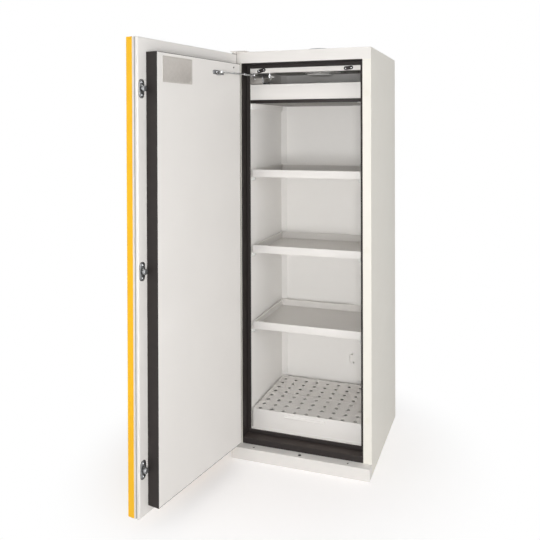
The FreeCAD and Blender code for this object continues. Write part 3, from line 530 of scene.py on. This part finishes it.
def lintel_covers():
    # Two dark oval covers on the beam, each held by two bright screws and set a little aslant.
    section = [(0, -0.2), (0, 0.7), (0.4, 1.2), (1.2, 1.5), (2.6, 1.5), (3.2, 1.1), (3.6, 1.1)]
    covers = bmesh.new()
    screws = bmesh.new()
    for x, aslant in ((-194, -14), (194, -5)):
        lean = Matrix.Rotation(math.radians(aslant), 4, "Y")
        forward = Matrix.Rotation(math.radians(90), 4, "X")
        place = Matrix.Translation((x, 52, 1653)) @ lean @ forward
        pressed(covers, place, 40, 16, 7.8, section, 6)
        for offset in (-12, 12):
            screw_head(screws, place @ Vector((offset, -0.5, 1.0)), (0, -1, 0), 2.9, 1.6)
    finish_piece("lintel_covers", covers, seal_rubber, "cabinet", ("lintel_caps",))
    finish_piece("lintel_cover_screws", screws, bright_steel, "cabinet")


def release_case():
    # Case of the door release: body, raised lid, screw, bright edge strip and its black stop.
    low, high = drawn_box("release_housing")
    right = -192.0
    bm = bmesh.new()
    soft_block(bm, low, (right, high.y, high.z), 2.0, 3)
    lid_low = Vector((low.x + 6, low.y, low.z + 3))
    lid_high = Vector((right - 5, low.y, high.z - 3))
    pressed(bm, on_front(lid_low, lid_high, low.y), lid_high.x - lid_low.x, lid_high.z - lid_low.z, 2.0,
            [(0, -0.5), (0, 0.5), (0.5, 0.9)])
    finish_piece("release_case", bm, shaded_grey_enamel, "cabinet", ("release_housing",))
    bright = bmesh.new()
    soft_block(bright, (right, low.y - 1.5, low.z + 3), (right + 2.8, low.y + 5, high.z), 0.5)
    for level in (low.z + 6, high.z - 2.6):
        screw_head(bright, (right + 1.4, low.y - 1.4, level), (0, -1, 0), 2.2, 1.2)
    screw_head(bright, (-229, low.y - 0.8, 1617.5), (0, -1, 0), 3.4, 1.8)
    finish_piece("release_strip", bright, bright_steel, "cabinet")
    stop = bmesh.new()
    soft_block(stop, (right + 2.4, low.y, 1593.8), (right + 28, low.y + 12, 1602.4), 0.8)
    finish_piece("release_stop", stop, black_plastic, "cabinet")


def valve_frame_screws():
    # Six screws that hold the flange of the exhaust port from below.
    low, high = drawn_box("valve_frame")
    inset = 7
    bm = bmesh.new()
    for x in (low.x + inset, high.x - inset):
        for y in (low.y + inset, (low.y + high.y) / 2, high.y - inset):
            screw_head(bm, (x, y, low.z + 0.2), (0, 0, -1), 3.6, 2.2)
    finish_piece("valve_frame_screws", bm, bright_steel, "cabinet")


def spigot_trim():
    # Dark lip seal in the groove below the rolled rim of the spigot, and the rim itself.
    low, high = drawn_box("exhaust_spigot")
    middle = Vector(((low.x + high.x) / 2, (low.y + high.y) / 2, high.z))
    seal = bmesh.new()
    turned(seal, middle, (0, 0, 1), [(54.8, -11), (56.2, -10.4), (57.0, -8), (56.2, -5.6), (54.8, -5)],
           64, closed=True)
    finish_piece("spigot_lip_seal", seal, seal_rubber, "cabinet")
    rim = bmesh.new()
    turned(rim, middle, (0, 0, 1), [(54.6, -2.4), (55.8, -2.0), (56.2, -1.2), (55.6, -0.3), (54.4, 0),
                                    (53.4, -0.6), (53.4, -2.0)], 64, closed=True)
    finish_piece("spigot_rim", rim, galvanised, "cabinet")


# Stay

STAY_PIVOT = Vector((-207.0, 180.0, 1639.0))
STAY_BALL = Vector((-250.5, -223.2, 1625.0))


def stay_trim():
    # Turned end round the ball, and a ring at the mouth of the outer tube.
    way = (STAY_BALL - STAY_PIVOT).normalized()
    end = bmesh.new()
    turned(end, STAY_PIVOT, way, [(3.1, 394.8), (4.6, 395.2), (6.2, 396.6), (7.0, 399.6), (7.3, 403.4),
                                  (7.1, 407.2), (6.2, 410.4), (4.2, 412.6), (1.0, 413.4)])
    finish_piece("stay_rod_end", end, bright_steel, "stay_end")
    ring = bmesh.new()
    turned(ring, STAY_PIVOT, way, [(6.25, 144), (7.1, 144.4), (7.3, 145.4), (7.3, 150), (7.0, 151),
                                   (6.25, 151.3)], closed=True)
    finish_piece("stay_tube_ring", ring, bright_steel, "stay_outer")


def stay_star_plate():
    # White plate with four arms behind the pivot, and the tab above it.
    steps = 48
    shape = []
    for i in range(steps):
        angle = math.tau * i / steps
        reach = 9 + 11 * math.cos(2 * angle) ** 4
        shape.append((reach * math.cos(angle), reach * math.sin(angle)))
    rings = []
    for share, y in ((1.0, 193.0), (1.0, 190.4), (0.9, 189.4), (0.5, 188.6), (0.2, 188.4)):
        rings.append([(STAY_PIVOT.x + share * x, y, 1637 + share * z) for x, z in shape])
    bm = bmesh.new()
    bridge(bm, rings)
    soft_block(bm, (STAY_PIVOT.x - 6, 190.2, 1650), (STAY_PIVOT.x + 6, 193.0, 1662.4), 0.6)
    finish_piece("stay_star_plate", bm, white_enamel, "cabinet", sharp=30)


# Door leaf

ROOF_HEIGHT = 1730.0
LATCH_LEVELS = [share * ROOF_HEIGHT for share in (0.12717, 0.52543, 0.89133)]
LATCH_X = 280.0
PLATE_EDGE = rounded_outline(24, 64, 11.9, 6)
PLATE_SLOT = [(x, z + 6) for x, z in rounded_outline(9.6, 21.6, 4.7, 6)]


def slotted_plate(bm, level, section):
    # Oblong ring round the slot for the pin: section is (outline, inset from it, y).
    rings = []
    for outline, inset, y in section:
        ring = []
        for x, z in outline:
            side = math.copysign(1, x)
            ring.append((LATCH_X + x - side * inset, y, level + z * (1 - inset / 32)))
        rings.append(ring)
    bridge(bm, rings, closed=True)


def latch_plates_pressed():
    # Oblong plates with a slot for the pin, on thin dark gaskets.
    plates = bmesh.new()
    gaskets = bmesh.new()
    screws = bmesh.new()
    for level in LATCH_LEVELS:
        slotted_plate(plates, level, [(PLATE_EDGE, 0, -7.4), (PLATE_EDGE, 0, -6.2), (PLATE_EDGE, 0.9, -5.6),
                                      (PLATE_SLOT, 0, -5.6), (PLATE_SLOT, 0, -7.4)])
        slotted_plate(gaskets, level, [(PLATE_EDGE, -1.1, -8.0), (PLATE_EDGE, -1.1, -7.2),
                                       (PLATE_SLOT, 0, -7.2), (PLATE_SLOT, 0, -8.0)])
        for offset in (-22.5, 22.5):
            screw_head(screws, (LATCH_X, -5.7, level + offset), (0, 1, 0), 4.4, 1.8)
    finish_piece("latch_plates_pressed", plates, zinc_steel, "door", ("latch_plates",),
                 TO_OPEN_DOOR)
    finish_piece("latch_plate_gaskets", gaskets, seal_rubber, "door", to_frame=TO_OPEN_DOOR)
    finish_piece("latch_plate_screws", screws, bright_steel, "door", to_frame=TO_OPEN_DOOR)


def blank_plate():
    # Aluminium plate with a raised border and four rivets; its field is left blank.
    low, high = drawn_box("data_plate", TO_OPEN_DOOR)
    bm = bmesh.new()
    pressed(bm, on_back(low, high, low.y), high.x - low.x, high.z - low.z, 4.0,
            [(0, 0), (0, 0.5), (0.3, 0.8), (3.2, 0.8), (3.7, 0.55), (5.0, 0.55)])
    inset = 9
    for x in (low.x + inset, high.x - inset):
        for z in (low.z + inset, high.z - inset):
            turned(bm, (x, low.y + 0.5, z), (0, 1, 0), [(2.6, 0), (2.5, 0.5), (1.8, 0.9), (0.7, 1.1)], 16)
    finish_piece("blank_plate", bm, satin_aluminium, "door", ("data_plate",), TO_OPEN_DOOR)


def door_screws():
    # Screws of the stay's foot in their dark washers, and the one in the cover of the block.
    dark = bmesh.new()
    bright = bmesh.new()
    foot_face = drawn_box("stay_door_bracket", TO_OPEN_DOOR)[0].y + 3.0
    block_face = drawn_box("block_face", TO_OPEN_DOOR)[1].y
    for x in (-84.0, -122.0):
        turned(dark, (x, foot_face - 0.1, STAY_BALL.z), (0, 1, 0), [(4.4, 0), (7.2, 0), (7.0, 0.8), (4.6, 0.9)],
               closed=True)
        screw_head(bright, (x, foot_face - 0.2, STAY_BALL.z), (0, 1, 0), 4.8, 2.6)
    screw_head(dark, (-205, block_face - 0.1, 1654), (0, 1, 0), 3.4, 1.4)
    finish_piece("door_screws", dark, dark_steel, "door", to_frame=TO_OPEN_DOOR)
    finish_piece("stay_foot_screws", bright, bright_steel, "door", to_frame=TO_OPEN_DOOR)


def handle_plate():
    # Moulded long plate under the lever.
    low, high = drawn_box("handle_plate", TO_OPEN_DOOR)
    bm = bmesh.new()
    pressed(bm, on_front(low, high, high.y), high.x - low.x, high.z - low.z, 6.0,
            [(0, 0), (0, 5.4), (0.6, 6.9), (1.8, 7.7), (3.4, 8.0)], 5)
    finish_piece("handle_plate_moulded", bm, black_plastic, "door", ("handle_plate",),
                 TO_OPEN_DOOR)


def lever():
    # Turned neck and an oval grip, rounded at its foot. Each grip ring is its height over the
    # neck, its half width and its half depth.
    low, high = drawn_box("door_handle", TO_OPEN_DOOR)
    x = (low.x + high.x) / 2
    level = high.z - 11
    bm = bmesh.new()
    turned(bm, (x, high.y, level), (0, -1, 0), [(5, 0), (5, 22.6), (10.6, 22.8), (11, 24), (11, 27), (9.6, 29),
                                                (9.2, 34), (10, 40), (10.6, 44), (9.6, 47.2), (6.5, 48.3)])
    grip = [(8.6, 3, 2.6), (7.4, 6.4, 5.6), (4, 8.6, 7.6), (0, 9, 8.4), (-30, 9, 7.8), (-70, 8.8, 7.6),
            (-110, 8.8, 8), (-124, 8.6, 8.4), (-130, 7, 7), (-133.4, 4, 4), (low.z - level, 1, 1)]
    depth = low.y + 17
    rings = []
    for height, wide, deep in grip:
        rings.append([(x + along, depth + out, level + height) for along, out in oval(wide, deep, 24)])
    bridge(bm, rings)
    finish_piece("lever_moulded", bm, black_plastic, "lever", ("door_handle",), TO_OPEN_DOOR)


# Small parts of the body

def keyhole_outline(share):
    # The round mouth for the head with the narrow slot above it, drawn in to a share of its size.
    radius, half, rise = 11.1, 5.1, 12.0
    lean = math.asin(half / radius)
    points = []
    for i in range(25):
        angle = math.pi / 2 + lean + (math.tau - 2 * lean) * i / 24
        points.append((radius * math.cos(angle), radius * math.sin(angle)))
    for i in range(9):
        angle = math.pi * i / 8
        points.append((half * math.cos(angle), rise + half * math.sin(angle)))
    return [(share * x, share * (z - 3) + 3) for x, z in points]


def keyhole_covers():
    # Soft white flaps in the keeper openings of the stile. The latch heads push them aside.
    for index, level in enumerate(LATCH_LEVELS):
        bm = bmesh.new()
        rings = []
        for share, y in ((0.2, 0.35), (0.85, 0.3), (0.96, 0.1), (1.0, 0.5), (1.0, 1.4), (0.2, 1.4)):
            rings.append([(LATCH_X + x, y, level + z) for x, z in keyhole_outline(share)])
        bridge(bm, rings)
        flap = finish_piece("keyhole_cover_%d" % (index + 1), bm, flap_rubber, "cabinet")
        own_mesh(flap)


def sill_sockets():
    # Black cups under the three holes in the top sheet of the sill.
    top, floor, foot = 48.4, 33, 32
    bm = bmesh.new()
    for x, radius in ((-205, 4.5), (0, 7.5), (205, 4.5)):
        wall = radius + 1.2
        turned(bm, (x, -20, 0), (0, 0, 1), [(wall, top), (wall, foot), (0.3, foot), (0.3, floor),
                                            (radius, floor), (radius, top)], closed=True)
    finish_piece("sill_sockets", bm, black_plastic, "cabinet")


def cover_screws():
    # Screws of the upper hinge plate, and the countersunk ones of the rear panel.
    bm = bmesh.new()
    top = drawn_box("hinge_plate")[1].z
    for x, y in ((-252, 12), (-252, 44), (-284, 44)):
        screw_head(bm, (x, y, top - 0.1), (0, 0, 1), 4.5, 2.4)
    low, high = drawn_box("rear_panel")
    for x in (low.x + 22, 0, high.x - 22):
        for share in (0.03, 0.35, 0.67, 0.97):
            screw_head(bm, (x, high.y - 0.1, low.z + share * (high.z - low.z)), (0, 1, 0), 4.5, 0.2)
    finish_piece("cover_screws", bm, zinc_steel, "cabinet")


seal_frame()
shelf_tray("shelf_lower", "shelf_1")
shelf_tray("shelf_middle", "shelf_2")
shelf_tray("shelf_upper", "shelf_3")
spill_tray_pressed()
tray_insert_punched()
shelf_clips()
perforated_ceiling()
ceiling_rails()
fascia_cover()
lintel_covers()
release_case()
valve_frame_screws()
spigot_trim()
stay_trim()
stay_star_plate()
latch_plates_pressed()
blank_plate()
door_screws()
handle_plate()
lever()
keyhole_covers()
sill_sockets()
cover_screws()


# Floor, light and camera

def seen_directly(tree):
    # 1 for the camera's own view and what it sees in a gloss, 0 for the light that bounces.
    rays = add(tree, "LightPath").outputs
    return add(tree, "Math", {}, {0: rays["Is Camera Ray"], 1: rays["Is Glossy Ray"]},
               operation="MAXIMUM").outputs[0]


def make_floor():
    # White floor. Close to the cabinet it keeps its shadow, further off it turns into the backdrop.
    mesh = bpy.data.meshes.new("studio_floor")
    reach = 30.0
    corners = [(-reach, -reach, 0), (reach, -reach, 0), (reach, reach, 0), (-reach, reach, 0)]
    mesh.from_pydata(corners, [], [(0, 1, 2, 3)])
    floor = bpy.data.objects.new("studio_floor", mesh)
    floor.location.z = -0.3 * MM
    bpy.context.scene.collection.objects.link(floor)
    material, tree, place = new_material("white_studio_floor")
    lit = add(tree, "BsdfDiffuse", {"Color": linear("EEEBEA")}).outputs[0]
    glow = add(tree, "Emission", {"Color": linear("FFFFFF"), "Strength": 0.335}).outputs[0]
    lifted = add(tree, "AddShader", {}, {0: lit, 1: glow}).outputs[0]
    backdrop = add(tree, "Emission", {"Color": linear("FFFFFF"), "Strength": 1.0}).outputs[0]
    from_door = add(tree, "VectorMath", {1: (-0.1, -0.2, 0)}, {0: place}, operation="SUBTRACT").outputs[0]
    away = add(tree, "VectorMath", {}, {0: from_door}, operation="LENGTH").outputs["Value"]
    fade = add(tree, "MapRange", {"From Min": 0.3, "From Max": 0.95}, {"Value": away},
               interpolation_type="SMOOTHSTEP").outputs[0]
    seen = add(tree, "MixShader", {}, {0: fade, 1: lifted, 2: backdrop}).outputs[0]
    shader = add(tree, "MixShader", {}, {0: seen_directly(tree), 1: lit, 2: seen})
    floor.data.materials.append(close(material, tree, shader))


def make_world(strength):
    # Even white studio that lights softly and is seen as plain white.
    world = bpy.data.worlds.new("studio")
    world.use_nodes = True
    tree = world.node_tree
    tree.nodes.clear()
    level = add(tree, "Mix", {"A": strength, "B": 1.0}, {"Factor": seen_directly(tree)}, data_type="FLOAT")
    sky = add(tree, "Background", {"Color": linear("FFFFFF")}, {"Strength": level.outputs["Result"]})
    add(tree, "OutputWorld", links={"Surface": sky.outputs[0]})
    bpy.context.scene.world = world


def softbox(name, place, target, width, height, power):
    lamp = bpy.data.lights.new(name, "AREA")
    lamp.shape = "RECTANGLE"
    lamp.size = width
    lamp.size_y = height
    lamp.energy = power
    holder = bpy.data.objects.new(name, lamp)
    holder.location = place
    way = Vector(target) - Vector(place)
    holder.rotation_euler = way.to_track_quat("-Z", "Y").to_euler()
    bpy.context.scene.collection.objects.link(holder)


def make_camera(place, yaw, pitch, roll, focal_px, centre_px):
    # Camera found from marks in the photograph. Its shift puts the eye level where the photograph
    # has it.
    image_px = 540
    data = bpy.data.cameras.new("photo_camera")
    data.sensor_width = 36.0
    data.lens = focal_px * data.sensor_width / image_px
    data.shift_x = (image_px / 2 - centre_px[0]) / image_px
    data.shift_y = (centre_px[1] - image_px / 2) / image_px
    camera = bpy.data.objects.new("photo_camera", data)
    turn = Matrix.Rotation(math.radians(yaw), 4, "Z")
    tilt = Matrix.Rotation(math.radians(90 - pitch), 4, "X")
    lean = Matrix.Rotation(math.radians(roll), 4, "Z")
    camera.matrix_world = Matrix.Translation(place) @ turn @ tilt @ lean
    bpy.context.scene.collection.objects.link(camera)
    bpy.context.scene.camera = camera


make_floor()
make_world(0.28)
softbox("key_front", (1.0, -3.8, 2.0), (0, 0, 0.95), 2.4, 2.4, 12)
softbox("eye_level_box", (0.9, -3.5, 1.05), (0, 0, 0.9), 0.9, 0.9, 49)
softbox("right_fill", (3.6, -1.8, 1.6), (0, 0, 0.9), 2.0, 2.4, 36)
softbox("top_light", (0.2, -0.9, 3.6), (0, -0.2, 0), 3.0, 3.0, 9)
softbox("left_fill", (-3.0, -3.0, 1.8), (0, 0, 0.9), 2.0, 2.4, 12)
make_camera((0.8180, -2.6759, 1.4046), 18.095, 0.406, -0.162, 614.83, (306.25, 132.30))

bpy.context.scene.view_settings.view_transform = "Standard"
